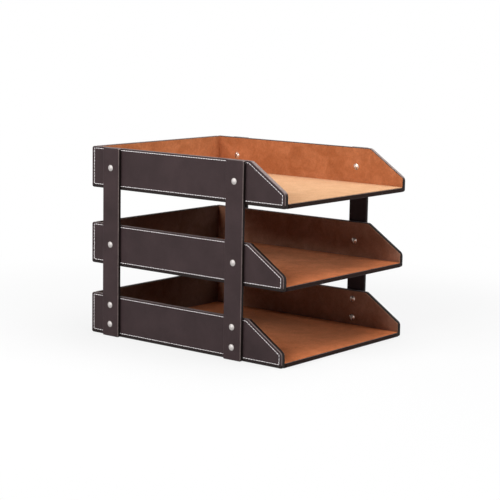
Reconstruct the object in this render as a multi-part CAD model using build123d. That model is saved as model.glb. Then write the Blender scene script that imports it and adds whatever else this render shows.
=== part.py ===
from build123d import *
import os
from math import hypot

# Three-tier letter tray, in millimetres. X is the width, Y runs from the open front (-Y) to the
# back wall (+Y), Z is up. The origin is the middle of the footprint, on the underside.

# Trays
tray_width = 269.0
tray_depth = 330.0
wall_height = 55.5
middle_tray_rise = 97.0
top_tray_rise = 103.5

# Panel make-up: a fibreboard core, leather wrapped round it, suede glued to the inner face
board_thickness = 5.0
leather_thickness = 0.9
suede_thickness = 0.9
suede_edge_inset = 1.0
suede_corner_radius = 2.0

# Side wall outline: an upright front end, then a slope up to the full height
front_end_height = 19.0
slope_run = 55.0
panel_corner_radius = 3.0
slope_turn_radius = 8.0

# Rounding where the leather turns over a panel's outer edges
outer_arris_radius = 1.6

# Border seam: one thread let into the leather all round a wall's outer face
seam_top_inset = 2.5
seam_slope_inset = 4.2
seam_end_inset = 4.8
seam_bottom_inset = 5.0
thread_width = 0.9
thread_depth = 0.45

# Posts: stiff flat strips in a leather wrap, standing against the side walls
post_width = 29.0
post_core_thickness = 3.2
post_corner_radius = 2.2
post_arris_radius = 1.4
front_post_setback = 77.5
back_post_setback = 39.7

# Binding screws: a domed barrel from outside, a domed slotted screw from inside
single_screw_height = 28.8
lower_screw_height = 16.9
upper_screw_drop = 12.3
head_diameter = 8.8
head_height = 1.8
barrel_diameter = 5.0
barrel_end_gap = 1.5
barrel_base_thickness = 2.0
bore_clearance = 0.1
screw_diameter = 3.5
screw_length = 8.0
thread_clearance = 0.05
slot_width = 1.1
slot_depth = 0.8

# Overrun of every cutting solid past the face that it cuts
cut_overrun = 1.0

# Sizes that follow from the ones above
wrap_thickness = leather_thickness + board_thickness
wall_thickness = wrap_thickness + suede_thickness
floor_top = wall_thickness
front_face = -tray_depth / 2
back_face = tray_depth / 2
inner_half_width = tray_width / 2 - wrap_thickness
back_board_face = back_face - wrap_thickness
post_thickness = post_core_thickness + leather_thickness + leather_thickness
tray_levels = {
    "bottom": 0,
    "middle": middle_tray_rise,
    "top": middle_tray_rise + top_tray_rise,
}
post_height = tray_levels["top"] + wall_height
post_places = {
    "front": front_face + front_post_setback,
    "back": back_face - back_post_setback,
}
screw_heights = {
    "bottom": [lower_screw_height, wall_height - upper_screw_drop],
    "middle": [single_screw_height],
    "top": [single_screw_height],
}


def side_outline(front, back, bottom, top, slope, radii):
    """Side wall outline in Y and Z, drawn in from each edge by its own amount.

    The radii round the corners in turn: front foot, back foot, back top, slope top, slope foot.
    """
    steepness = (wall_height - front_end_height) / slope_run
    slope_drop = slope * hypot(1, steepness)
    front_y = front_face + front
    back_y = back_face - back
    top_z = wall_height - top
    slope_foot_z = front_end_height + front * steepness - slope_drop
    slope_top_y = front_face + (top_z + slope_drop - front_end_height) / steepness
    corners = [
        (front_y, bottom),
        (back_y, bottom),
        (back_y, top_z),
        (slope_top_y, top_z),
        (front_y, slope_foot_z),
    ]
    return make_face(FilletPolyline(*corners, radius=radii, close=True))


def even_side_outline(inset):
    """Side wall outline drawn in by one amount all round, with the corner rounding to suit."""
    corner = panel_corner_radius - inset
    turn = slope_turn_radius - inset
    return side_outline(inset, inset, inset, inset, inset, [corner, corner, corner, turn, turn])


def back_outline(end, bottom, top):
    """Back wall outline in X and Z, between the side walls, drawn in from each edge."""
    outline = Rectangle(2 * (inner_half_width - end), wall_height - bottom - top)
    return Pos(0, (wall_height + bottom - top) / 2) * outline


def slab(outline, plane, depth_from, depth_to):
    """The outline made solid between two depths behind the plane's face."""
    return extrude(plane.offset(depth_from) * outline, depth_to - depth_from)


def softened(panel, axis, radius):
    """A panel with the edges of its outer face, the low one along the axis, rounded."""
    return fillet(panel.faces().sort_by(axis)[0].edges(), radius)


def wrapped_panel(outline_at, plane, axis):
    """Board and leather cover of one wall; outline_at gives the outline drawn in by an inset."""
    whole = softened(slab(outline_at(0), plane, 0, wrap_thickness), axis, outer_arris_radius)
    board = slab(outline_at(leather_thickness), plane, leather_thickness, wrap_thickness)
    return board, whole - board


def seam_ring(outer_outline, inner_outline, plane):
    """The seam thread: a flat ring let into the leather, flush with its face."""
    return slab(outer_outline, plane, 0, thread_depth) - slab(inner_outline, plane, 0, thread_depth)


def side_seam_outline(grow):
    """Run of the seam on a side wall, widened by an amount to each side of its centre line."""
    return side_outline(
        seam_end_inset - grow,
        seam_end_inset - grow,
        seam_bottom_inset - grow,
        seam_top_inset - grow,
        seam_slope_inset - grow,
        [0, 0, 0, 0, 0],
    )


def back_seam_outline(grow):
    """Run of the seam on the back wall, widened in the same way."""
    return back_outline(seam_end_inset - grow, seam_bottom_inset - grow, seam_top_inset - grow)


def screw_bore(y, z):
    """Clear hole through a left post and the left wall at one screw."""
    length = post_thickness + wall_thickness + 2 * cut_overrun
    start = -tray_width / 2 - post_thickness - cut_overrun
    radius = barrel_diameter / 2 + bore_clearance
    return extrude(Plane.YZ.offset(start) * Pos(y, z) * Circle(radius), length)


def screw_bores(tier):
    """All the holes through the left wall of one tray, at that tray's own level."""
    return [screw_bore(y, z) for y in post_places.values() for z in screw_heights[tier]]


def side_wall(tier):
    """Board, cover, lining and seam thread of a left side wall."""
    plane = Plane.YZ.offset(-tray_width / 2)
    board, cover = wrapped_panel(even_side_outline, plane, Axis.X)
    lining_outline = side_outline(
        suede_edge_inset,
        wrap_thickness,
        floor_top,
        suede_edge_inset,
        suede_edge_inset,
        [0, 0, 0, slope_turn_radius, suede_corner_radius],
    )
    lining = slab(lining_outline, plane, wrap_thickness, wall_thickness)
    half_thread = thread_width / 2
    thread = seam_ring(side_seam_outline(half_thread), side_seam_outline(-half_thread), plane)
    bores = screw_bores(tier)
    return {
        "wall_board": board - bores,
        "wall_cover": cover - thread - bores,
        "wall_lining": lining - bores,
        "seam_thread": thread - bores,
    }


def back_wall():
    """Board, cover, lining and seam thread of a back wall, which stands between the side walls."""
    plane = Plane(origin=(0, back_face, 0), x_dir=(1, 0, 0), z_dir=(0, -1, 0))

    def outline_at(inset):
        outline = back_outline(inset, inset, inset)
        return fillet(outline.vertices(), panel_corner_radius - inset)

    board, cover = wrapped_panel(outline_at, plane, -Axis.Y)
    lining_outline = back_outline(suede_thickness, floor_top, suede_edge_inset)
    lining = slab(lining_outline, plane, wrap_thickness, wall_thickness)
    half_thread = thread_width / 2
    thread = seam_ring(back_seam_outline(half_thread), back_seam_outline(-half_thread), plane)
    return {
        "wall_board": board,
        "wall_cover": cover - thread,
        "wall_lining": lining,
        "seam_thread": thread,
    }


def floor_slab(front, bottom, top):
    """A flat slab between the walls, from a place in Y to the back wall, between two heights."""
    depth = back_board_face - front
    outline = Pos(0, front + depth / 2) * Rectangle(2 * inner_half_width, depth)
    return slab(outline, Plane.XY, bottom, top)


def lower_front_edge(panel):
    """The lower edge of a slab's front face, where the leather turns up from the underside."""
    return panel.faces().sort_by(Axis.Y)[0].edges().sort_by(Axis.Z)[0]


def tray_floor():
    """Board, cover and lining of a floor: the leather turns up over the front edge."""
    whole = floor_slab(front_face, 0, wrap_thickness)
    whole = fillet(lower_front_edge(whole), outer_arris_radius)
    board = floor_slab(front_face + leather_thickness, leather_thickness, wrap_thickness)
    lining = floor_slab(front_face + suede_edge_inset, wrap_thickness, floor_top)
    return {
        "floor_board": board,
        "floor_cover": whole - board,
        "floor_lining": lining,
    }


def post(place):
    """Core and leather wrap of a left post, standing against the left walls."""
    y = post_places[place]
    plane = Plane.YZ.offset(-tray_width / 2 - post_thickness)

    def outline_at(inset):
        outline = Rectangle(post_width - 2 * inset, post_height - 2 * inset)
        return Pos(y, post_height / 2) * fillet(outline.vertices(), post_corner_radius - inset)

    whole = softened(slab(outline_at(0), plane, 0, post_thickness), Axis.X, post_arris_radius)
    core = slab(outline_at(leather_thickness), plane, leather_thickness, post_thickness - leather_thickness)
    bores = [
        screw_bore(y, level + height)
        for tier, level in tray_levels.items()
        for height in screw_heights[tier]
    ]
    return {"post_core": core - bores, "post_cover": whole - core - bores}


def domed_head():
    """A screw head on its side: flat at X = 0, a dome towards -X."""
    radius = head_diameter / 2
    flat = Line((0, 0), (0, radius))
    dome_radius = (radius**2 + head_height**2) / (2 * head_height)
    dome = RadiusArc((0, radius), (-head_height, 0), -dome_radius)
    axis_line = Line((-head_height, 0), (0, 0))
    return revolve(make_face([flat, dome, axis_line]), Axis.X)


def rod(radius, length):
    """A round rod from X = 0 towards +X."""
    return extrude(Plane.YZ * Circle(radius), length)


def binding_barrel():
    """Barrel with a plain domed head, lying on the post's outer face at X = 0."""
    length = post_thickness + wall_thickness - barrel_end_gap
    barrel = domed_head() + rod(barrel_diameter / 2, length)
    bore = rod(screw_diameter / 2 + thread_clearance, length)
    return barrel - Pos(barrel_base_thickness, 0, 0) * bore


def binding_screw():
    """Screw with a slotted domed head, its shank running back into the barrel from the suede."""
    slot = Pos(-head_height, 0, 0) * Box(2 * slot_depth, slot_width, head_diameter + cut_overrun)
    screw = domed_head() - slot + rod(screw_diameter / 2, screw_length)
    return mirror(screw, Plane.YZ)


def at_every_screw(piece, x):
    """The piece at each screw of the left posts, with its seat at x, and again on the right."""
    left = [
        Pos(x, y, level + height) * piece
        for y in post_places.values()
        for tier, level in tray_levels.items()
        for height in screw_heights[tier]
    ]
    return left + [mirror(copy, Plane.YZ) for copy in left]


nodes = {}
for tier, level in tray_levels.items():
    raised = Pos(0, 0, level)
    for name, shape in tray_floor().items():
        nodes[f"{tier}_{name}"] = raised * shape
    for name, shape in side_wall(tier).items():
        nodes[f"{tier}_left_{name}"] = raised * shape
        nodes[f"{tier}_right_{name}"] = raised * mirror(shape, Plane.YZ)
    for name, shape in back_wall().items():
        nodes[f"{tier}_back_{name}"] = raised * shape

for place in post_places:
    for name, shape in post(place).items():
        nodes[f"{place}_left_{name}"] = shape
        nodes[f"{place}_right_{name}"] = mirror(shape, Plane.YZ)

outer_seat = -tray_width / 2 - post_thickness
inner_seat = -tray_width / 2 + wall_thickness
nodes["binding_barrels"] = Compound(at_every_screw(binding_barrel(), outer_seat))
nodes["binding_screws"] = Compound(at_every_screw(binding_screw(), inner_seat))

os.makedirs("parts", exist_ok=True)
for name, shape in nodes.items():
    export_step(shape, f"parts/{name}.step")
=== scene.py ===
import bpy
import numpy as np
from mathutils import Matrix, Vector


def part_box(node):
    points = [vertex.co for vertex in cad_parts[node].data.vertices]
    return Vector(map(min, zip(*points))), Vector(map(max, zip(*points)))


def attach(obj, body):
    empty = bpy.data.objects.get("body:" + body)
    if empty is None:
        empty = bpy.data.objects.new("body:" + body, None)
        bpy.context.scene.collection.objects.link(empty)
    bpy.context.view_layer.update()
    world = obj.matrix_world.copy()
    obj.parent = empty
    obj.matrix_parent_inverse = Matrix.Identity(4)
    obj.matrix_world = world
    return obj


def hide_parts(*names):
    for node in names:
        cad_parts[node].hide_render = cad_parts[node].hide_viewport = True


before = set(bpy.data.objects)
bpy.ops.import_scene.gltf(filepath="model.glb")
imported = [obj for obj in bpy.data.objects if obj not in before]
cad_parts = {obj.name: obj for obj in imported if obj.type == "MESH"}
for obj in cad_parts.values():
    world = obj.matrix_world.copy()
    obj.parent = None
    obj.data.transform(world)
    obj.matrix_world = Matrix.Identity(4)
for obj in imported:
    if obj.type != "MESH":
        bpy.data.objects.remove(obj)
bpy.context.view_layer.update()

# Fibreboard cores: the stiff sheet inside each floor, wall and post.
# Raw medium-density fibreboard, sawn to shape and bored for the screws; the leather and the suede
# are glued round it, so it shows only where they are lifted.
tiers = ("bottom", "middle", "top")
walls = ("left", "right", "back")
posts = ("front_left", "front_right", "back_left", "back_right")
board_brown = (0.36, 0.25, 0.15, 1.0)
board_tone = (0.8, 1.15)
board_tone_scale = 40.0
board_fleck_scale = 900.0
board_fleck_bump = (0.4, 0.0002)
board_roughness = 0.9
cloud_detail = 5.0
cloud_breakup = 0.62
cloud_span = (0.3, 0.7)
comb_scale = 160.0
comb_detail = 2.0
comb_lean = (0.002, 0.002, 0.002)
even_comb = 0.6
fibre_detail = 3.0
fibre_breakup = 0.7


def feed(tree, node, values):
    """Feeds inputs of a node, by name or number: a socket is linked, a number or colour is set."""
    for socket, value in values.items():
        if isinstance(value, bpy.types.NodeSocket):
            tree.links.new(value, node.inputs[socket])
        else:
            node.inputs[socket].default_value = value


def put(tree, kind, values=None, **settings):
    """Places a node of a kind, with its settings, and feeds its inputs."""
    node = tree.nodes.new(f"ShaderNode{kind}")
    for setting, value in settings.items():
        setattr(node, setting, value)
    feed(tree, node, values or {})
    return node


def put_range(tree, value, given, wanted=(0.0, 1.0)):
    """Carries a value from the given span over to the wanted one, and holds it within that."""
    spans = {"From Min": given[0], "From Max": given[1], "To Min": wanted[0], "To Max": wanted[1]}
    return put(tree, "MapRange", {"Value": value, **spans}).outputs["Result"]


def put_bump(tree, shader, height, bump):
    """Raises the surface by a height pattern; bump is its strength and its depth in metres."""
    raised = put(tree, "Bump", {"Height": height, "Strength": bump[0], "Distance": bump[1]})
    feed(tree, shader, {"Normal": raised.outputs["Normal"]})


def node_group(name, inputs, outputs):
    """An empty shader node group with named sockets, what it is given, and its output node."""
    group = bpy.data.node_groups.new(name, "ShaderNodeTree")
    for socket, kind in inputs.items():
        group.interface.new_socket(socket, in_out="INPUT", socket_type=f"NodeSocket{kind}")
    for socket, kind in outputs.items():
        group.interface.new_socket(socket, in_out="OUTPUT", socket_type=f"NodeSocket{kind}")
    return group, group.nodes.new("NodeGroupInput").outputs, group.nodes.new("NodeGroupOutput")


def uneven_tone_group():
    """Cloudy lightening and darkening of one colour: colour times a value that noise moves
    between a low and a high multiple."""
    inputs = {"Vector": "Vector", "Scale": "Float", "Colour": "Color", "Low": "Float", "High": "Float"}
    group, given, result = node_group("uneven_tone", inputs, {"Colour": "Color", "Cloud": "Float"})
    noise = {"Vector": given["Vector"], "Scale": given["Scale"]}
    cloud = put(group, "TexNoise", {**noise, "Detail": cloud_detail, "Roughness": cloud_breakup})
    multiple = put_range(group, cloud.outputs["Fac"], cloud_span, (given["Low"], given["High"]))
    tint = put(group, "VectorMath", operation="SCALE")
    feed(group, tint, {0: given["Colour"], "Scale": multiple})
    feed(group, result, {"Colour": tint.outputs["Vector"], "Cloud": cloud.outputs["Fac"]})
    return group


def short_fibre_group():
    """A felt of short fibres: fine noise on coordinates that coarser noise has combed aside."""
    inputs = {"Vector": "Vector", "Scale": "Float", "Comb": "Float"}
    group, given, result = node_group("short_fibres", inputs, {"Height": "Float"})
    comb = put(group, "TexNoise", {"Vector": given["Vector"], "Distortion": given["Comb"]})
    feed(group, comb, {"Scale": comb_scale, "Detail": comb_detail})
    lean = put(group, "VectorMath", operation="MULTIPLY_ADD")
    feed(group, lean, {0: comb.outputs["Color"], 1: comb_lean, 2: given["Vector"]})
    fibre = put(group, "TexNoise", {"Vector": lean.outputs["Vector"], "Scale": given["Scale"]})
    feed(group, fibre, {"Detail": fibre_detail, "Roughness": fibre_breakup})
    feed(group, result, {"Height": fibre.outputs["Fac"]})
    return group


uneven_tone = uneven_tone_group()
short_fibres = short_fibre_group()


def put_tone(tree, place, scale, colour, span):
    """The uneven tone of a colour, between the low and the high multiple of a span."""
    values = {"Vector": place, "Scale": scale, "Colour": colour, "Low": span[0], "High": span[1]}
    return put(tree, "Group", values, node_tree=uneven_tone).outputs


def put_fibres(tree, place, scale, comb=even_comb):
    """The height of the felt of short fibres."""
    values = {"Vector": place, "Scale": scale, "Comb": comb}
    return put(tree, "Group", values, node_tree=short_fibres).outputs["Height"]


def new_material(name):
    """A node material with its Principled shader, and the object coordinates that patterns read."""
    material = bpy.data.materials.new(name)
    material.use_nodes = True
    tree = material.node_tree
    return material, tree, tree.nodes["Principled BSDF"], put(tree, "TexCoord").outputs["Object"]


def fibreboard_material():
    """Pressed wood fibre: brown, flecked, matt."""
    material, tree, shader, place = new_material("fibreboard")
    tone = put_tone(tree, place, board_tone_scale, board_brown, board_tone)
    feed(tree, shader, {"Base Color": tone["Colour"], "Roughness": board_roughness})
    put_bump(tree, shader, put_fibres(tree, place, board_fleck_scale), board_fleck_bump)
    return material


fibreboard = fibreboard_material()
board_nodes = [f"{tier}_floor_board" for tier in tiers]
board_nodes += [f"{tier}_{wall}_wall_board" for tier in tiers for wall in walls]
board_nodes += [f"{post}_post_core" for post in posts]
for node in board_nodes:
    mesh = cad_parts[node].data
    mesh.materials.clear()
    mesh.materials.append(fibreboard)


# Leather covers of the walls: dark brown grained leather, about a millimetre thick.
# Each is cut to its panel, sewn along the border, then glued over the board's outer face and
# turned over the edges, which it rounds.
leather_brown = (0.0345, 0.0213, 0.0225, 1.0)
# Painted highlight: the pale colour laid on edges that face up or to the front.
leather_painted_highlight = (0.4, 0.315, 0.295, 1.0)
# Near black on edges that do not face up and on the strip below the lower seam: painted shade, and edge
# ink on the edges.
leather_edge_ink_and_shade = (0.012, 0.0078, 0.007, 1.0)
leather_tone = (0.82, 1.18)
leather_tone_scale = 28.0
leather_roughness = (0.62, 0.48)
leather_gloss = 0.12
leather_bump = (0.5, 0.00016)
grain_scale = 850.0
crease_width = 0.35
cloud_relief = 3.0
arris_burnish = 0.16
# Where the painted highlight on the leather's edges lies: by their facing, in patches.
upward_span = (0.25, 0.7)
frontward_span = (-0.1, -0.4)
level_highlight = 0.45
upright_highlight = 0.55
highlight_patch_scale = 350.0
highlight_fibre_span = (0.3, 0.7)
highlight_span = (0.45, 0.95)
edge_start = 0.8
edge_growth = 0.5
# How far below the lower seam the painted shade takes to reach full strength.
foot_shade_reach = 0.0008
outer_arris = 0.0016
inner_arris = 0.0008
arris_steps = 8
turn_in = 0.006
corner_radius = 0.003
slope_turn_radius = 0.008
corner_steps = 9
front_end_height = 0.019
slope_run = 0.055
seam_end, seam_bottom, seam_top, seam_slope = 0.0048, 0.005, 0.0025, 0.0042
seam_insets = np.array([seam_end, seam_bottom, seam_top, seam_slope])
seam_corner_radius = 0.0006
seam_dip = 0.00028
seam_dip_width = 0.00055
seam_ring_offsets = np.array([-0.0045, -0.0022, -0.0013, -0.0008, -0.0004, 0.0, 0.0004, 0.0007])
pucker_mean = 0.62
pucker_swing = 0.38
stitch_pitch = 0.0042
steps_per_stitch = 6
wall_faces = {"left": (0, 1.0), "right": (0, -1.0), "back": (1, -1.0)}


def ring_solid(name, rings, material, masks=()):
    """A closed mesh from rings of points, or several at once: array (copies, rings, points, 3).

    Point j of ring i is joined to its neighbours in the ring and to point j of the next ring, and
    the first and last ring of each copy are closed by a flat face. Masks are (attribute name,
    values) pairs that spread over (rings, points). The faces point outwards.
    """
    rings = np.asarray(rings, dtype=np.float64)
    if rings.ndim == 3:
        rings = rings[None]
    beside = np.roll(rings, -1, axis=2)
    a, b, c, d = rings[:, :-1], beside[:, :-1], beside[:, 1:], rings[:, 1:]
    middle = rings.mean(axis=(0, 1, 2))
    turn = -1 if np.sum((a - middle) * np.cross(c - a, d - b)) < 0 else 1
    rings = rings[:, :, ::turn]
    copies, count, points = rings.shape[:3]
    index = np.arange(copies * count * points).reshape(copies, count, points)
    after = np.roll(index, -1, axis=2)
    quads = np.stack([index[:, :-1], after[:, :-1], after[:, 1:], index[:, 1:]], axis=-1).reshape(-1, 4)
    caps = np.concatenate([index[:, 0, ::-1], index[:, -1]], axis=0)
    loops = np.concatenate([quads.ravel(), caps.ravel()])
    sizes = np.concatenate([np.full(len(quads), 4), np.full(len(caps), points)])
    mesh = bpy.data.meshes.new(name)
    mesh.vertices.add(index.size)
    mesh.vertices.foreach_set("co", rings.reshape(-1))
    mesh.loops.add(len(loops))
    mesh.loops.foreach_set("vertex_index", loops)
    mesh.polygons.add(len(sizes))
    mesh.polygons.foreach_set("loop_start", np.concatenate([[0], np.cumsum(sizes)[:-1]]))
    mesh.polygons.foreach_set("loop_total", sizes)
    mesh.polygons.foreach_set("use_smooth", np.arange(len(sizes)) < len(quads))
    for attribute, mask in masks:
        values = np.broadcast_to(mask, rings.shape[:3])[:, :, ::turn]
        layer = mesh.attributes.new(attribute, "FLOAT", "POINT")
        layer.data.foreach_set("value", values.astype(np.float32).ravel())
    mesh.update(calc_edges=True)
    mesh.validate()
    mesh.materials.append(material)
    piece = bpy.data.objects.new(name, mesh)
    bpy.context.scene.collection.objects.link(piece)
    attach(piece, "root")
    return piece


def flat_panel(node, deep, inward):
    """A CAD panel laid flat: the low and the high corner of its outline, its thickness, and a plot
    that puts points of the outline into space, at a depth behind the panel's first face. deep is
    the axis through the panel, and inward is the way along it from that face."""
    low, high = np.array(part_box(node))
    flat = [axis for axis in range(3) if axis != deep]
    face = low[deep] if inward > 0 else high[deep]

    def plot(loop, depth):
        """Outline points in the panel's plane, with the depth measured from the face."""
        points = np.empty((len(loop), 3))
        points[:, flat] = loop
        points[:, deep] = face + inward * depth
        return points

    return low[flat], high[flat], high[deep] - low[deep], plot


def rounded_loop(corners, radii, steps):
    """Points round a polygon: at each corner an arc tangent to both edges, found by turning from
    one tangent point to the next about the arc's centre, then the straight run to the next arc."""
    radii = np.asarray(radii)[:, None]
    to_before = np.roll(corners, 1, axis=0) - corners
    to_after = np.roll(corners, -1, axis=0) - corners
    to_before /= np.linalg.norm(to_before, axis=1, keepdims=True)
    to_after /= np.linalg.norm(to_after, axis=1, keepdims=True)
    half = 0.5 * np.arccos(np.sum(to_before * to_after, axis=1, keepdims=True))
    bisector = to_before + to_after
    bisector /= np.linalg.norm(bisector, axis=1, keepdims=True)
    centres = corners + bisector * radii / np.sin(half)
    starts = corners + to_before * radii / np.tan(half) - centres
    ends = corners + to_after * radii / np.tan(half) - centres
    span = (np.pi - 2 * half)[:, :, None]
    t = np.linspace(0, 1, corner_steps)[None, :, None]
    arcs = np.sin((1 - t) * span) * starts[:, None] + np.sin(t * span) * ends[:, None]
    arcs = centres[:, None] + arcs / np.sin(span)
    runs = []
    for i, count in enumerate(steps):
        share = np.linspace(0, 1, count + 1)[1:-1, None]
        first, last = arcs[i, -1], arcs[(i + 1) % len(arcs), 0]
        runs += [arcs[i], first + (last - first) * share]
    return np.concatenate(runs)


def run_steps(corners, spacing):
    """How many steps each edge of a polygon is cut into, at about one spacing."""
    lengths = np.linalg.norm(np.roll(corners, -1, axis=0) - corners, axis=1)
    return np.maximum(2, np.rint(lengths / spacing)).astype(int)


def side_corners(low, high, end, bottom, top, slope):
    """Corners of a side wall in Y and Z, each edge drawn in by its own amount; the slope runs from
    the upright front end to the full height."""
    steepness = (high[1] - low[1] - front_end_height) / slope_run
    drop = slope * np.hypot(1, steepness)
    top_z = high[1] - top
    foot_z = low[1] + front_end_height + end * steepness - drop
    turn_y = low[0] + (top_z + drop - low[1] - front_end_height) / steepness
    return np.array([
        (low[0] + end, low[1] + bottom),
        (high[0] - end, low[1] + bottom),
        (high[0] - end, top_z),
        (turn_y, top_z),
        (low[0] + end, foot_z),
    ])


def oblong_corners(low, high, end, bottom, top, slope=0.0):
    """Corners of a rectangle, drawn in by its own amount at the ends, the bottom and the top. It is
    called as side_corners is, and has no slope."""
    return np.array([
        (low[0] + end, low[1] + bottom),
        (high[0] - end, low[1] + bottom),
        (high[0] - end, high[1] - top),
        (low[0] + end, high[1] - top),
    ])


def along(loop):
    """Distance along a closed loop at each of its points, and its whole length."""
    gaps = np.linalg.norm(np.roll(loop, -1, axis=0) - loop, axis=1)
    return np.concatenate([[0], np.cumsum(gaps)[:-1]]), gaps.sum()


def wrapped_profile(outer, inner, thickness):
    """Inset and depth of leather drawn over an edge: a quarter circle from the outer face to the
    edge, then one from the edge to the inner face."""
    angle = np.linspace(0, np.pi / 2, arris_steps)
    insets = np.concatenate([outer * (1 - np.sin(angle)), inner * (1 - np.cos(angle))])
    depths = np.concatenate([outer * (1 - np.cos(angle)), thickness - inner * (1 - np.sin(angle))])
    return insets, depths


def edge_masks(plain, last):
    """Masks over the rings of a wrapped panel: plain rings, the outer quarter turn, the inner one,
    then the last rings. The arris mask peaks halfway round the outer turn. The edge mask grows late
    in that turn, fills the edge and dies away round the inner turn."""
    angle = np.linspace(0, np.pi / 2, arris_steps)
    peak = np.sin(2 * angle) ** 2
    growing = np.clip((angle - edge_start) / edge_growth, 0, 1)
    dying = np.sqrt(np.cos(angle).clip(0))
    arris = np.concatenate([np.zeros(plain), peak, 0 * peak, np.zeros(last)])
    edge = np.concatenate([np.zeros(plain), growing, dying, np.zeros(last)])
    return [("arris", arris[:, None]), ("edge", edge[:, None])]


def put_math(tree, operation, *values):
    """Works a number out from others; each is a number or a socket."""
    return put(tree, "Math", dict(enumerate(values)), operation=operation).outputs["Value"]


def put_mix(tree, share, under, over):
    """Lays a colour over another by a share."""
    return put(tree, "Mix", {"Factor": share, "A": under, "B": over}, data_type="RGBA").outputs["Result"]


def put_mask(tree, name):
    """Reads a mask that is stored on the points of a mesh."""
    return put(tree, "Attribute", attribute_name=name).outputs["Fac"]


def leather_material(name, gloss, edge_ink_and_shade):
    """Grained leather: pebbles from the distance to cell edges, with a satin finish that the grain
    breaks up. Edges that face up or to the front get a painted highlight in patches, most of all on
    the slopes, but where the tray above shades a wall's slope only its arris gets it. Edges that do
    not face up, the slopes under the tray above and the strip below the lower seam get painted
    shade, near black, which on the edges stands for edge ink too."""
    material, tree, shader, place = new_material(name)
    tone = put_tone(tree, place, leather_tone_scale, leather_brown, leather_tone)
    pebble = put(tree, "TexVoronoi", feature="DISTANCE_TO_EDGE")
    feed(tree, pebble, {"Vector": place, "Scale": grain_scale, "Randomness": 1.0})
    crease = put_range(tree, pebble.outputs["Distance"], (0.0, crease_width))
    normal = put(tree, "NewGeometry").outputs["Normal"]
    facing = put(tree, "SeparateXYZ", {"Vector": normal}).outputs
    upward = put_range(tree, facing["Z"], upward_span)
    frontward = put_range(tree, facing["Y"], frontward_span)
    arris, edge, foot = put_mask(tree, "arris"), put_mask(tree, "edge"), put_mask(tree, "foot")
    under_tray_shade = put_mask(tree, "under_tray_shade")
    # Painted highlight: pale in patches on edges facing up or to the front; on slopes under the tray
    # above, on the arris alone.
    slope_highlight = put_math(tree, "SUBTRACT", 1.0, under_tray_shade)
    towards_slope = put_range(tree, frontward, (0.0, 1.0), (level_highlight, slope_highlight))
    off_upright = put_range(tree, upward, (0.0, 1.0), (upright_highlight, 1.0))
    lit_edge = put_math(tree, "MULTIPLY", edge, put_math(tree, "MULTIPLY", upward, towards_slope))
    lit_arris = put_math(tree, "MULTIPLY", arris, put_math(tree, "MULTIPLY", frontward, off_upright))
    patchy = put_range(tree, put_fibres(tree, place, highlight_patch_scale), highlight_fibre_span, highlight_span)
    highlight = put_math(tree, "MULTIPLY", put_math(tree, "MAXIMUM", lit_edge, lit_arris), patchy)
    highlighted = put_mix(tree, highlight, tone["Colour"], leather_painted_highlight)
    # Painted shade: near black on edges that do not face up, on slopes under the tray above and on the
    # strip below the lower seam; on the edges it is edge ink too.
    shaded_slope = put_math(tree, "MULTIPLY", under_tray_shade, frontward)
    in_shade = put_math(tree, "MAXIMUM", put_math(tree, "SUBTRACT", 1.0, upward), shaded_slope)
    ink_and_shade = put_math(tree, "MULTIPLY", put_math(tree, "MAXIMUM", edge, foot), in_shade)
    grained = put_range(tree, crease, (0.0, 1.0), leather_roughness)
    burnished = put_math(tree, "MULTIPLY_ADD", arris, -arris_burnish, grained)
    feed(tree, shader, {"Base Color": put_mix(tree, ink_and_shade, highlighted, edge_ink_and_shade), "Roughness": burnished})
    feed(tree, shader, {"Specular IOR Level": gloss})
    relief = put_math(tree, "MULTIPLY_ADD", tone["Cloud"], cloud_relief, crease)
    put_bump(tree, shader, relief, leather_bump)
    return material


dark_leather = leather_material("dark_leather", leather_gloss, leather_edge_ink_and_shade)


def wrapped_wall(name, node, wall, outline, radii, under_tray_shade):
    """A leather-wrapped panel: the panel's rounded outline is carried through a profile that dips
    at the seam, turns over the outer arris, crosses the edge and turns in over the inner arris. The
    dip is deepest at the stitch holes. The last argument is 1 where the tray above shades the slope,
    which then gets painted shade, with the painted highlight on its arris alone. Gives the piece,
    and the seam's loop, pitch and plot."""
    low, high, thickness, plot = flat_panel(node, *wall_faces[wall])
    steps = run_steps(outline(low, high, *np.zeros(4)), stitch_pitch / steps_per_stitch)
    tight = np.full(len(radii), seam_corner_radius)
    seam_loop = rounded_loop(outline(low, high, *seam_insets), tight, steps)
    place, length = along(seam_loop)
    pitch = length / round(length / stitch_pitch)
    pull = pucker_mean + pucker_swing * np.cos(2 * np.pi * place / pitch)
    rings = []
    for offset in seam_ring_offsets:
        corners = outline(low, high, *(seam_insets - offset))
        loop = rounded_loop(corners, tight + max(offset, 0.0), steps)
        rings.append(plot(loop, seam_dip * np.exp(-((offset / seam_dip_width) ** 2)) * pull))
    for inset, depth in zip(*wrapped_profile(outer_arris, inner_arris, thickness)):
        loop = rounded_loop(outline(low, high, *np.full(4, inset)), radii - inset, steps)
        rings.append(plot(loop, depth))
    loop = rounded_loop(outline(low, high, *np.full(4, turn_in)), tight, steps)
    rings = np.array(rings + [plot(loop, thickness)])
    # Painted shade on the strip below the lower seam, where the leather rounds under.
    foot = np.clip((seam_loop[:, 1].min() - rings[..., 2]) / foot_shade_reach, 0, 1)
    masks = edge_masks(len(seam_ring_offsets), 1) + [("foot", foot), ("under_tray_shade", under_tray_shade)]
    return ring_solid(name, rings, dark_leather, masks), (seam_loop, pitch, plot)


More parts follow.
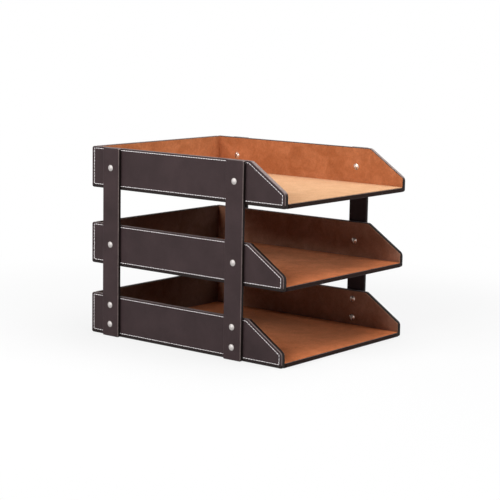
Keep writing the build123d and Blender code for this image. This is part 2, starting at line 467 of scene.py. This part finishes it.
side_turns = np.array([corner_radius] * 3 + [slope_turn_radius] * 2)
back_turns = np.full(4, corner_radius)
seam_runs = {}
for tier in tiers:
    for wall in walls:
        node = f"{tier}_{wall}_wall_cover"
        outline, turns = (oblong_corners, back_turns) if wall == "back" else (side_corners, side_turns)
        # The tray above shades the lower trays' slopes: painted shade there, and the painted highlight on
        # the arris alone.
        under_tray_shade = 0.0 if tier == "top" else 1.0
        piece, seam_run = wrapped_wall(f"{tier}_{wall}_leather", node, wall, outline, turns, under_tray_shade)
        seam_runs[f"{tier}_{wall}"] = seam_run
        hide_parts(node)


# Leather covers of the floors: one sheet under each tray, in the same dark leather, left matt.
# It is glued to the underside and turned up over the floor's front edge, where it ends just
# below the suede.
floor_leather_gloss = 0.04
# Near black for the floors' front edges: painted shade, and edge ink.
floor_edge_ink_and_shade = (0.02, 0.01, 0.008, 1.0)
lip_radius = 0.0004
floor_spacing = 0.012
floor_steps = 41

matt_leather = leather_material("matt_leather", floor_leather_gloss, floor_edge_ink_and_shade)


def floor_cover_profile(low, high, skin):
    """Section of the sheet in Y and Z, as one closed loop: underside, rounded front edge, top lip,
    then back along the board's front edge and underside."""
    corners = np.array([
        (high[0], low[1]),
        (low[0], low[1]),
        (low[0], high[1]),
        (low[0] + skin, high[1]),
        (low[0] + skin, low[1] + skin),
        (high[0], low[1] + skin),
    ])
    radii = np.array([lip_radius, outer_arris, lip_radius, lip_radius, outer_arris - skin, lip_radius])
    return rounded_loop(corners, radii, run_steps(corners, floor_spacing))


for tier in tiers:
    node = f"{tier}_floor_cover"
    low, high = np.array(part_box(node))
    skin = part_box(f"{tier}_floor_board")[0][2] - low[2]
    section = floor_cover_profile(low[1:], high[1:], skin)
    rings = np.empty((floor_steps, len(section), 3))
    rings[..., 0] = np.linspace(low[0], high[0], floor_steps)[:, None]
    rings[..., 1:] = section
    # The turned-up front edge gets the near-black colour: painted shade, and edge ink.
    turned_up = section[:, 0] < low[1] + skin
    front = np.clip((section[:, 1] - low[2]) / outer_arris, 0, 1) * turned_up
    piece = ring_solid(f"{tier}_floor_leather", rings, matt_leather, [("edge", front)])
    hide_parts(node)


# Suede linings: soft tan split leather with a short nap, brushed unevenly.
# One sheet is glued to each floor and one to the inner face of each wall, cut just short of the
# panel's free edges so that a line of dark leather frames it. The tans are copies of one suede with
# painted light and shade: the top tray's back wall lighter and its floor paler with a painted sheen,
# the lower trays' back walls darker and their side walls duller.
# Copies of one suede tan, with painted light and shade by tray and by wall.
suede_tans_with_painted_light = {
    "top_side": (0.415, 0.138, 0.055),
    "top_back": (0.5, 0.186, 0.077),
    "top_floor": (0.7, 0.39, 0.21),
    "lower_side": (0.375, 0.18, 0.112),
    "lower_back": (0.145, 0.075, 0.051),
    "lower_floor": (0.65, 0.18, 0.06),
}
nap_contrast = {"top_floor": 0.45, "lower_floor": 0.8}
full_contrast = 1.0
nap_dark = np.array([0.747, 0.681, 0.6])
nap_pale = np.array([1.253, 1.406, 1.58])
smudge_scale = 14.0
smudge_tone = (0.9, 1.1)
brushed = {"Scale": 42.0, "Detail": 6.0, "Roughness": 0.6, "Distortion": 0.8}
brushed_span = (0.36, 0.66)
brushed_share = 0.5
fleck_scale = 420.0
fleck_tone = (0.86, 1.12)
nap_scale = 1500.0
nap_comb = 1.2
nap_bump = (0.55, 0.0003)
suede_finish = {
    "Roughness": 0.92,
    "Specular IOR Level": 0.0,
    "Sheen Weight": 0.12,
    "Sheen Roughness": 0.5,
    "Sheen Tint": (1.0, 0.8, 0.58, 1.0),
}
suede_edge_radius = 0.00045
suede_edge_inset = 0.001
suede_corner_radius = 0.0015
suede_spacing = 0.006
sharp_corner = 0.0002
suede_edge_steps = 5


def suede_material(name, tan, contrast):
    """Suede: nap lying two ways in brushed patches, dark and pale, over broad smudges of the middle
    tan, with a soft pale sheen. The dark and the pale are the tan times a ratio each, which is
    raised to the power of the contrast."""
    material, tree, shader, place = new_material(name)
    smudge = put_tone(tree, place, smudge_scale, (*tan, 1.0), smudge_tone)
    patches = put(tree, "TexNoise", {"Vector": place, **brushed})
    lay = put(tree, "ValToRGB", {"Fac": patches.outputs["Fac"]})
    for stop, position, ratio in zip(lay.color_ramp.elements, brushed_span, (nap_dark, nap_pale)):
        stop.position = position
        stop.color = (*(tan * ratio**contrast), 1.0)
    blend = put_mix(tree, brushed_share, smudge["Colour"], lay.outputs["Color"])
    fleck = put_tone(tree, place, fleck_scale, blend, fleck_tone)
    feed(tree, shader, {"Base Color": fleck["Colour"], **suede_finish})
    put_bump(tree, shader, put_fibres(tree, place, nap_scale, nap_comb), nap_bump)
    return material


suedes = {}
for place, tan in suede_tans_with_painted_light.items():
    suedes[place] = suede_material(f"{place}_suede", tan, nap_contrast.get(place, full_contrast))


def suede_sheet(name, outline, radii, plot, thickness, suede):
    """A thin sheet: its outline carried over a rounded free edge, from the showing face down to
    the glued one; where it meets another sheet the edge is square."""
    steps = run_steps(outline(0), suede_spacing)
    angle = np.linspace(0, np.pi / 2, suede_edge_steps)
    insets = np.append(suede_edge_radius * (1 - np.sin(angle)), 0.0)
    depths = np.append(suede_edge_radius * (1 - np.cos(angle)), thickness)
    rings = []
    for inset, depth in zip(insets, depths):
        loop = rounded_loop(outline(inset), np.maximum(radii - inset, sharp_corner), steps)
        rings.append(plot(loop, depth))
    return ring_solid(name, rings, suede)


def side_lining(tier, side, suede):
    """The lining of a side wall, with the front corner cut to the slope."""
    low, high, thickness, plot = flat_panel(f"{tier}_{side}_wall_lining", 0, -wall_faces[side][1])
    wall_low, wall_high = flat_panel(f"{tier}_{side}_wall_cover", *wall_faces[side])[:2]

    def outline(inset):
        """The side wall's outline, cut off at the floor lining and at the back wall."""
        edge = suede_edge_inset + inset
        corners = side_corners(wall_low, wall_high, edge, 0, edge, edge)
        corners[:2, 1] = low[1]
        corners[1:3, 0] = high[0]
        return corners

    turns = np.array([sharp_corner] * 3 + [slope_turn_radius, suede_corner_radius])
    return suede_sheet(f"{tier}_{side}_suede", outline, turns, plot, thickness, suede)


def oblong_lining(tier, part, deep, inward, free, suede):
    """The lining of a back wall or a floor. free is 1 for its bottom or top edge if that is free,
    and 0 if it meets another sheet."""
    low, high, thickness, plot = flat_panel(f"{tier}_{part}_lining", deep, inward)

    def outline(inset):
        """A rectangle drawn in at its free edge alone."""
        return oblong_corners(low, high, 0, free[0] * inset, free[1] * inset)

    return suede_sheet(f"{tier}_{part}_suede", outline, np.full(4, sharp_corner), plot, thickness, suede)


for tier in tiers:
    level = "top" if tier == "top" else "lower"
    linings = {}
    for side in ("left", "right"):
        linings[f"{side}_wall"] = side_lining(tier, side, suedes[f"{level}_side"])
    linings["back_wall"] = oblong_lining(tier, "back_wall", 1, 1.0, (0, 1), suedes[f"{level}_back"])
    linings["floor"] = oblong_lining(tier, "floor", 2, -1.0, (1, 0), suedes[f"{level}_floor"])
    for part, piece in linings.items():
        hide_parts(f"{tier}_{part}_lining")


# Border seams: pale waxed two-ply thread, in even running stitches round every wall.
# Each stitch comes up through one hole, lies along the leather and goes down through the next,
# drawing the leather in a little. Under the posts the stitches are pressed flush.
thread_pale = (0.9, 0.85, 0.855, 1.0)
thread_tone = (0.88, 1.1)
thread_tone_scale = 180.0
thread_roughness = 0.6
thread_gloss = 0.25
thread_bump = (0.7, 0.00015)
ply_groove_shade = (0.62, 1.08)
ply_wave_scale = np.pi / 5
ply_unevenness = 0.4
plies = 2
ply_turns = 2.5
thread_radius = 0.0005
thread_thinning = 0.65
thread_sunk = 0.5
stitch_share = 0.92
stitch_rise = 0.00032
stitch_rings = 7
stitch_sides = 6


def thread_material():
    """Twisted thread: slanting plies along the stitch, with painted shade in the grooves between them.
    One wave of the texture fits one unit of the thread's map, so the plies join up round the thread."""
    material, tree, shader, place = new_material("seam_thread")
    around = put(tree, "UVMap", uv_map="thread").outputs["UV"]
    wave = {"Vector": around, "Scale": ply_wave_scale, "Distortion": ply_unevenness}
    ply = put(tree, "TexWave", wave, bands_direction="DIAGONAL").outputs["Fac"]
    tone = put_tone(tree, place, thread_tone_scale, thread_pale, thread_tone)
    twisted = put(tree, "VectorMath", operation="SCALE")
    feed(tree, twisted, {0: tone["Colour"], "Scale": put_range(tree, ply, (0.0, 1.0), ply_groove_shade)})
    feed(tree, shader, {"Base Color": twisted.outputs["Vector"], "Roughness": thread_roughness})
    feed(tree, shader, {"Specular IOR Level": thread_gloss})
    put_bump(tree, shader, ply, thread_bump)
    return material


seam_thread = thread_material()


def stitches(name, loop, pitch, plot, pressed):
    """A row of stitches: each is a tube along the seam, thickest in its middle and bowed up by half
    a sine, found for all the stitches at once by walking the seam's loop. In the pressed spans it
    is flush with the leather. The map counts the plies that pass along and round the thread."""
    place, length = along(loop)
    count = round(length / pitch)
    t = np.linspace(-1, 1, stitch_rings)
    s = (np.arange(count)[:, None] + 0.5 + 0.5 * stitch_share * t[None]) * pitch
    marks = np.append(place, length)
    closed = np.vstack([loop, loop[:1]])
    centre = np.stack([np.interp(s, marks, closed[:, k]) for k in range(2)], axis=-1)
    direction = centre[:, -1:] - centre[:, :1]
    direction /= np.linalg.norm(direction, axis=-1, keepdims=True)
    aside = np.stack([-direction[..., 1], direction[..., 0]], axis=-1)
    girth = thread_radius * np.sqrt(1.0 - thread_thinning * t**2)
    rise = stitch_rise * np.cos(0.5 * np.pi * t) - thread_sunk * thread_radius
    angle = np.linspace(0, 2 * np.pi, stitch_sides, endpoint=False)
    across = girth[None, :, None, None] * np.cos(angle)[None, None, :, None] * aside[:, :, None, :]
    flat = centre[:, :, None, :] + across
    depth = -(rise[None, :, None] + girth[None, :, None] * np.sin(angle)) * np.ones((count, 1, 1))
    for start, end in pressed:
        under = (centre[..., 0] > start) & (centre[..., 0] < end)
        depth = np.where(under[..., None], np.maximum(depth, 0), depth)
    points = plot(flat.reshape(-1, 2), depth.ravel())
    piece = ring_solid(name, points.reshape(count, stitch_rings, stitch_sides, 3), seam_thread)
    quad = np.arange(count * (stitch_rings - 1) * stitch_sides)
    ahead = (quad // stitch_sides % (stitch_rings - 1))[:, None] + np.array([0, 0, 1, 1])
    around = (quad % stitch_sides)[:, None] + np.array([0, 1, 1, 0])
    uv = np.zeros((len(piece.data.loops), 2), dtype=np.float32)
    uv[: ahead.size, 0] = ahead.ravel() * ply_turns * plies / (stitch_rings - 1)
    uv[: ahead.size, 1] = around.ravel() * plies / stitch_sides
    piece.data.uv_layers.new(name="thread").data.foreach_set("uv", uv.ravel())
    return piece


post_boxes = [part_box(f"{place}_left_post_cover") for place in ("front", "back")]
post_spans = [(low[1], high[1]) for low, high in post_boxes]
for wall, (loop, pitch, plot) in seam_runs.items():
    pressed = () if "back" in wall else post_spans
    piece = stitches(f"{wall}_stitches", loop, pitch, plot, pressed)
    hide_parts(f"{wall}_seam_thread")


# Posts: flat strips that carry the trays, wrapped in the same dark leather.
# Each stands upright against the side walls, level with the base and the top edge, with the
# leather drawn tight round its rounded edges.
post_corner = 0.0022
post_outer_arris = 0.0015
post_inner_arris = 0.001
post_turn_in = 0.005
post_spacing = 0.008

for post in posts:
    node = f"{post}_post_cover"
    side = "left" if "left" in post else "right"
    low, high, thickness, plot = flat_panel(node, *wall_faces[side])
    insets, depths = wrapped_profile(post_outer_arris, post_inner_arris, thickness)
    insets = np.concatenate([[post_turn_in], insets, [post_turn_in]])
    depths = np.concatenate([[0.0], depths, [thickness]])
    steps = run_steps(oblong_corners(low, high, 0, 0, 0), post_spacing)
    rings = []
    for inset, depth in zip(insets, depths):
        turns = np.full(4, max(post_corner - inset, seam_corner_radius))
        loop = rounded_loop(oblong_corners(low, high, inset, inset, inset), turns, steps)
        rings.append(plot(loop, depth))
    piece = ring_solid(f"{post}_post_leather", rings, dark_leather, edge_masks(1, 1))
    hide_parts(node)


# Binding barrels: the outer halves of the screws, with plain domed heads of nickel-plated brass.
# Each barrel goes through a post and the wall behind it, and its head lies on the post's leather.
# The barrel heads face the lamps and take a dimmer copy of the nickel: painted light.
nickel_dimmed_for_light = (0.48, 0.452, 0.44, 1.0)
dull_roughness = (0.55, 0.78)
# A darker colour towards the rim of a barrel head and in a screw's slot.
nickel_darkening = (0.12, 0.1, 0.09, 1.0)
nickel_tone = (0.85, 1.1)
spot_scale = 700.0
turned_scale = 2600.0
turned_bump = (0.06, 0.00005)
rim_dark_start = 0.72
head_radius = 0.0044
head_height = 0.0018
head_edge = 0.0005
dome_sphere = (head_radius**2 + head_height**2) / (2 * head_height)
dome_span = (0.03, 0.97)
dome_steps = 9
round_steps = 36
shank_radius = 0.0025
shank_reach = 0.004
single_screw = 0.0288
lower_screw, upper_screw = 0.0169, 0.0432
screw_heights = {"bottom": (lower_screw, upper_screw), "middle": (single_screw,), "top": (single_screw,)}


def nickel_material(name, colour, roughness):
    """Nickel plate: metal with a faint turned finish, small dull spots, and a darker colour where the
    rim mask says, at the rim of a head or in its slot."""
    material, tree, shader, place = new_material(name)
    tone = put_tone(tree, place, spot_scale, colour, nickel_tone)
    darkened = put_mix(tree, put_mask(tree, "rim"), tone["Colour"], nickel_darkening)
    dulled = put_range(tree, tone["Cloud"], (0.0, 1.0), roughness)
    feed(tree, shader, {"Base Color": darkened, "Roughness": dulled, "Metallic": 1.0})
    put_bump(tree, shader, put_fibres(tree, place, turned_scale), turned_bump)
    return material


lit_head_nickel = nickel_material("lit_head_nickel", nickel_dimmed_for_light, dull_roughness)


def screw_places():
    """Every screw's side and its place in Y and Z: at each post, one or two to a tray."""
    places = []
    for post in posts:
        low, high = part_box(f"{post}_post_cover")
        for tier in tiers:
            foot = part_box(f"{tier}_floor_cover")[0][2]
            for height in screw_heights[tier]:
                side = "left" if "left" in post else "right"
                places.append((side, 0.5 * (low[1] + high[1]), foot + height))
    return places


def dome_height(radius):
    """Height of the domed head at a distance from its middle: a cap of a sphere."""
    return np.sqrt(dome_sphere**2 - radius**2) - (dome_sphere - head_height)


def turned_profile():
    """Radius and height of a head and its shank: the dome, an upright rim, the flat underside,
    then the shank."""
    r = np.linspace(*dome_span, dome_steps) * head_radius
    radii = np.concatenate([r, [head_radius, head_radius, shank_radius, shank_radius]])
    heights = np.concatenate([np.maximum(dome_height(r), head_edge), [head_edge, 0.0, 0.0, -shank_reach]])
    return radii, heights


radii, heights = turned_profile()
angle = np.linspace(0, 2 * np.pi, round_steps, endpoint=False)
barrel_rings = []
for side, y, z in screw_places():
    low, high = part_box(f"front_{side}_post_cover")
    face_x, outward = (low[0], -1.0) if side == "left" else (high[0], 1.0)
    rings = np.empty((len(radii), round_steps, 3))
    rings[..., 0] = (face_x + outward * heights)[:, None]
    rings[..., 1] = y + outward * radii[:, None] * np.cos(angle)
    rings[..., 2] = z + radii[:, None] * np.sin(angle)
    barrel_rings.append(rings)
rim = np.clip((radii / head_radius - rim_dark_start) / (1 - rim_dark_start), 0, 1)[:, None] ** 2
piece = ring_solid("binding_barrel_heads", barrel_rings, lit_head_nickel, [("rim", rim)])
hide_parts("binding_barrels")


# Binding screws: the inner halves, with slotted domed heads lying on the suede.
# They are turned home with a broad driver, so the slots end up at all angles.
# The screw heads lie in the trays' shade and take a lighter, warmer copy of the nickel: painted light,
# the warmth a painted reflection of the tan suede round them.
nickel_lifted_for_shade = (0.66, 0.52, 0.45, 1.0)
bright_roughness = (0.3, 0.46)
slot_half = 0.00055
slot_floor = 0.0009
slot_seed = 11
outermost_chord = 0.985
chords_a_side = 8
chord_steps = 13
thinnest_rim = 0.00015

shaded_head_nickel = nickel_material("shaded_head_nickel", nickel_lifted_for_shade, bright_roughness)


def slotted_head():
    """A slotted dome as chords: across the head in one direction the sections are the dome's height
    over a chord, closed by the flat underside; between the slot's walls the height stays low."""
    beside = np.linspace(slot_half, outermost_chord * head_radius, chords_a_side)
    u = np.concatenate([-beside[::-1], [-slot_half, slot_half], beside])
    in_slot = np.repeat([False, True, False], [chords_a_side, 2, chords_a_side])
    chord = np.sqrt(head_radius**2 - u**2)
    v = np.sin(np.linspace(-np.pi / 2, np.pi / 2, chord_steps))[None] * chord[:, None]
    dome = np.maximum(dome_height(np.hypot(u[:, None], v)), thinnest_rim)
    top = np.where(in_slot[:, None], np.minimum(dome, slot_floor), dome)
    loop_u = np.repeat(u[:, None], 2 * chord_steps, axis=1)
    loop_v = np.concatenate([v, v[:, ::-1]], axis=1)
    loop_h = np.concatenate([top, np.zeros_like(top)], axis=1)
    return loop_u, loop_v, loop_h


loop_u, loop_v, loop_h = slotted_head()
slot_turns = np.random.default_rng(slot_seed)
screw_rings = []
for side, y, z in screw_places():
    low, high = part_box(f"top_{side}_wall_lining")
    face_x, inward = (high[0], 1.0) if side == "left" else (low[0], -1.0)
    a = slot_turns.uniform(0, np.pi)
    rings = np.empty(loop_u.shape + (3,))
    rings[..., 0] = face_x + inward * loop_h
    rings[..., 1] = y + inward * (loop_u * np.cos(a) - loop_v * np.sin(a))
    rings[..., 2] = z + loop_u * np.sin(a) + loop_v * np.cos(a)
    screw_rings.append(rings)
slot = (np.abs(loop_u) <= slot_half) & (loop_h <= slot_floor)
piece = ring_solid("binding_screw_heads", screw_rings, shaded_head_nickel, [("rim", slot)])
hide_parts("binding_screws")


# Stage: a plain pale floor that runs out of sight, white to the camera and to reflections.
# A share of its own shading is kept, so the tray's soft shadow still shows on it.
floor_half = 6.0
floor_drop = 0.0004
floor_pale = (0.8, 0.8, 0.8, 1.0)
floor_tone = (0.98, 1.02)
floor_tone_scale = 2.0
floor_roughness = 0.9
shadow_share = 0.22
shadow_near, shadow_far = 0.3, 0.75
backdrop_white = (1.0, 1.0, 1.0, 1.0)


def seen_directly(tree):
    """1 for rays from the camera and for mirrored or refracted ones, 0 for rays that carry light."""
    rays = put(tree, "LightPath").outputs
    mirrored = put_math(tree, "MAXIMUM", rays["Is Camera Ray"], rays["Is Glossy Ray"])
    return put_math(tree, "MAXIMUM", mirrored, rays["Is Transmission Ray"])


def put_shader_mix(tree, share, under, over):
    """Lays a shader over another by a share."""
    return put(tree, "MixShader", {"Fac": share, 1: under, 2: over}).outputs["Shader"]


def floor_material():
    """Pale matt floor: its own shading for light; seen directly it is white, less a share of that
    shading which fades out with the distance from the tray. From below it is clear."""
    material, tree, shader, place = new_material("stage_floor")
    tone = put_tone(tree, place, floor_tone_scale, floor_pale, floor_tone)
    feed(tree, shader, {"Base Color": tone["Colour"], "Roughness": floor_roughness})
    feed(tree, shader, {"Specular IOR Level": 0.0})
    white = put(tree, "Emission", {"Color": backdrop_white}).outputs["Emission"]
    reach = put(tree, "VectorMath", {0: place}, operation="LENGTH").outputs["Value"]
    fade = {"Value": reach, "From Min": shadow_near, "From Max": shadow_far, "To Min": 1.0 - shadow_share}
    whiten = put(tree, "MapRange", fade, interpolation_type="SMOOTHSTEP").outputs["Result"]
    share = put_math(tree, "MULTIPLY", seen_directly(tree), whiten)
    above = put_shader_mix(tree, share, shader.outputs["BSDF"], white)
    clear = put(tree, "BsdfTransparent").outputs["BSDF"]
    below = put(tree, "NewGeometry").outputs["Backfacing"]
    feed(tree, tree.nodes["Material Output"], {"Surface": put_shader_mix(tree, below, above, clear)})
    return material


stage_mesh = bpy.data.meshes.new("stage_floor")
stage_corners = [(-1, -1), (1, -1), (1, 1), (-1, 1)]
stage_points = [(floor_half * x, floor_half * y, -floor_drop) for x, y in stage_corners]
stage_mesh.from_pydata(stage_points, [], [(0, 1, 2, 3)])
stage_mesh.materials.append(floor_material())
stage_floor = bpy.data.objects.new("stage_floor", stage_mesh)
bpy.context.scene.collection.objects.link(stage_floor)


# Light: three broad soft boxes, on the tray's left, overhead and in front, and a low even fill all
# round; the backdrop is white where it is seen.
fill_grey = (0.97, 0.97, 1.0, 1.0)
fill_strength = 0.14
soft_boxes = {
    "left_soft_box": {"place": (-1.55, 0.22, 0.98), "size": (1.4, 0.7), "watts": 28.5},
    "overhead_soft_box": {"place": (0.25, -0.2, 1.55), "size": (1.3, 0.9), "watts": 15.5},
    "front_soft_box": {"place": (0.6, -1.6, 0.9), "size": (1.6, 1.0), "watts": 11.0},
}
lamp_aim = Vector((0.0, 0.0, 0.12))

world = bpy.data.worlds.new("studio")
bpy.context.scene.world = world
world.use_nodes = True
tree = world.node_tree
fill = tree.nodes["Background"]
feed(tree, fill, {"Color": fill_grey, "Strength": fill_strength})
white = put(tree, "Background", {"Color": backdrop_white}).outputs["Background"]
backdrop = put_shader_mix(tree, seen_directly(tree), fill.outputs["Background"], white)
feed(tree, tree.nodes["World Output"], {"Surface": backdrop})

for name, box in soft_boxes.items():
    lamp = bpy.data.lights.new(name, "AREA")
    lamp.shape = "RECTANGLE"
    lamp.size, lamp.size_y = box["size"]
    lamp.energy = box["watts"]
    lamp_object = bpy.data.objects.new(name, lamp)
    lamp_object.location = box["place"]
    aim = lamp_aim - lamp_object.location
    lamp_object.rotation_euler = aim.to_track_quat("-Z", "Y").to_euler()
    bpy.context.scene.collection.objects.link(lamp_object)


# Camera: a long lens from the front left, a little above the trays, rolled by about a degree.
# Its place and focal length were solved from the trays' straight edges in the photo, and trued
# against the photo's outline.
camera_bearing = np.radians(-51.54)
camera_height_angle = np.radians(8.942)
camera_roll = np.radians(1.05)
camera_reach = 2.114014
camera_aside = 0.00308
camera_aim_height = 0.11692
focal_pixels = 1546.67
picture_pixels = 500.0
sensor = 36.0

back = np.array([
    np.sin(camera_bearing) * np.cos(camera_height_angle),
    -np.cos(camera_bearing) * np.cos(camera_height_angle),
    np.sin(camera_height_angle),
])
level_right = np.array([np.cos(camera_bearing), np.sin(camera_bearing), 0.0])
level_up = np.cross(back, level_right)
right = np.cos(camera_roll) * level_right + np.sin(camera_roll) * level_up
up = np.cos(camera_roll) * level_up - np.sin(camera_roll) * level_right
place = np.array([0.0, 0.0, camera_aim_height]) + back * camera_reach + right * camera_aside
turned = np.eye(4)
turned[:3] = np.column_stack([right, up, back, place])
lens = bpy.data.cameras.new("camera")
lens.sensor_width = sensor
lens.lens = focal_pixels / picture_pixels * sensor
camera = bpy.data.objects.new("camera", lens)
camera.matrix_world = Matrix(turned.tolist())
bpy.context.scene.collection.objects.link(camera)
bpy.context.scene.camera = camera
bpy.context.scene.view_settings.view_transform = "Standard"

bpy.context.view_layer.update()
